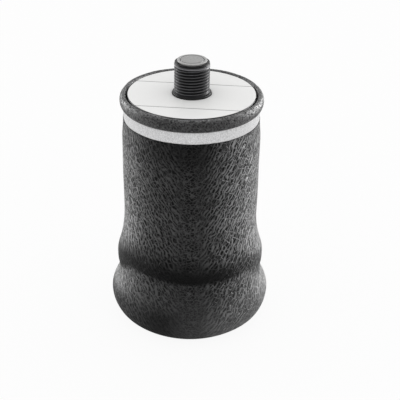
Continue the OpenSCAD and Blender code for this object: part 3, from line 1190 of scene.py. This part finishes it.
def make_floor(stage):
    """White sheet. Mirror images of it fade towards the dim front of the room."""
    half = 3.0
    corners = np.array([(-half, -half, 0), (half, -half, 0), (half, half, 0), (-half, half, 0)])
    floor = solid("floor", corners, np.array([[0, 1, 2, 3]]), 30)
    material, tree, shader, points = new_surface("pale_floor")
    connect(tree, shader, base_color=tuple(stage.floor_color), roughness=0.9, specular_ior_level=0.1)
    path = add_node(tree, "ShaderNodeLightPath")
    white = add_node(tree, "ShaderNodeEmission", None, {"Color": (1.0, 1.0, 1.0), "Strength": 1.0})
    y = split(points)[1]
    fade = (1.0 - (-y).ease(190.0, 300.0) * 0.8) * stage.front
    dim = add_node(
        tree, "ShaderNodeBsdfDiffuse", None,
        {"Color": fade.between((0.0, 0.0, 0.0), tuple(stage.floor_color))},
    )
    far = (-y).ease(-60.0, 80.0) * path["Is Glossy Ray"]
    faded = mix_shader(tree, far, shader.outputs["BSDF"], dim.node.outputs["BSDF"])
    seen = path["Is Camera Ray"] * 0.92
    whole = mix_shader(tree, seen, faded, white.node.outputs["Emission"])
    tree.links.new(whole, tree.nodes["Material Output"].inputs["Surface"])
    floor.data.materials.append(material)


def mix_shader(tree, factor, first, second):
    """Shader first where the factor is 0 and second where it is 1."""
    made = add_node(tree, "ShaderNodeMixShader", None, {0: factor})
    tree.links.new(first, made.node.inputs[1])
    tree.links.new(second, made.node.inputs[2])
    return made.node.outputs["Shader"]


def make_room_light(stage):
    """Even light from all round; mirror images of the room are dim at the front."""
    world = bpy.data.worlds.new("room")
    world.use_nodes = True
    tree = world.node_tree
    tree.nodes.clear()
    path = add_node(tree, "ShaderNodeLightPath")
    seen = path["Is Camera Ray"].most(path["Is Transmission Ray"])
    mirrored = path["Is Glossy Ray"]
    y, z = split(add_node(tree, "ShaderNodeTexCoord")["Generated"])[1:]
    front = (-y).ease(-0.4, 0.3) * (1.0 - z.ease(0.4, 0.85))
    glossy = 1.0 - front * (1.0 - 0.3 * stage.front)
    strength = stage.sky * (1.0 - seen.most(mirrored)) + seen + mirrored * glossy
    background = add_node(
        tree, "ShaderNodeBackground", None, {"Color": (1.0, 1.0, 1.0), "Strength": strength}
    )
    add_node(tree, "ShaderNodeOutputWorld", None, {"Surface": background["Background"]})
    bpy.context.scene.world = world


def make_lamps(stage):
    """Soft lamps at both sides and above. They show only as reflections, so pale pieces don't clip."""
    aim = Vector((0, 0, 0.08))
    for name, place, share, width in LAMPS:
        data = bpy.data.lights.new(name, "AREA")
        data.energy = stage.lamp * share
        data.shape = "RECTANGLE"
        data.size = width
        data.size_y = width
        lamp = bpy.data.objects.new(name, data)
        lamp.visible_diffuse = False
        lamp.location = place
        lamp.rotation_euler = (aim - Vector(place)).to_track_quat("-Z", "Y").to_euler()
        bpy.context.scene.collection.objects.link(lamp)


def make_camera(stage):
    """Camera in front of the axis, turned, tilted and leaned as the photo's was."""
    data = bpy.data.cameras.new("camera")
    data.lens = stage.lens
    data.sensor_width = 36.0
    data.clip_start = 0.01
    camera = bpy.data.objects.new("camera", data)
    camera.location = (0, -stage.distance, stage.height)
    lean = Euler((0, 0, stage.roll)).to_matrix()
    nod = Euler((math.pi / 2 - stage.pitch, 0, 0)).to_matrix()
    turn = Euler((0, 0, -stage.yaw)).to_matrix()
    camera.rotation_euler = (turn @ nod @ lean).to_euler()
    bpy.context.scene.collection.objects.link(camera)
    bpy.context.scene.camera = camera


class AIRSPRING_PT_panel(bpy.types.Panel):
    """Lists the steps that build the air spring"""

    bl_idname = "AIRSPRING_PT_panel"
    bl_label = "Air Spring"
    bl_space_type = "VIEW_3D"
    bl_region_type = "UI"
    bl_category = "Air Spring"

    def draw(self, context):
        for step in STEPS:
            self.layout.operator(step.bl_idname)


STEPS = (
    AIRSPRING_OT_stage,
    AIRSPRING_OT_finishes,
    AIRSPRING_OT_sleeve,
    AIRSPRING_OT_crimp_rings,
    AIRSPRING_OT_top,
    AIRSPRING_OT_plug,
    AIRSPRING_OT_piston,
)
GROUPS = {
    "air_spring_sleeve": SleeveSettings,
    "air_spring_metal": MetalSettings,
    "air_spring_trim": TrimSettings,
    "air_spring_stage": StageSettings,
}


def register():
    for group in GROUPS.values():
        bpy.utils.register_class(group)
    for name, group in GROUPS.items():
        setattr(bpy.types.Scene, name, PointerProperty(type=group))
    for step in (*STEPS, AIRSPRING_PT_panel):
        bpy.utils.register_class(step)


def unregister():
    for step in (AIRSPRING_PT_panel, *reversed(STEPS)):
        bpy.utils.unregister_class(step)
    for name in GROUPS:
        delattr(bpy.types.Scene, name)
    for group in reversed(list(GROUPS.values())):
        bpy.utils.unregister_class(group)


def main():
    register()
    bpy.ops.airspring.stage()
    bpy.ops.airspring.finishes()
    bpy.ops.airspring.sleeve()
    bpy.ops.airspring.crimp_rings()
    bpy.ops.airspring.top()
    bpy.ops.airspring.plug()
    bpy.ops.airspring.piston()


if __name__ == "__main__":
    main()
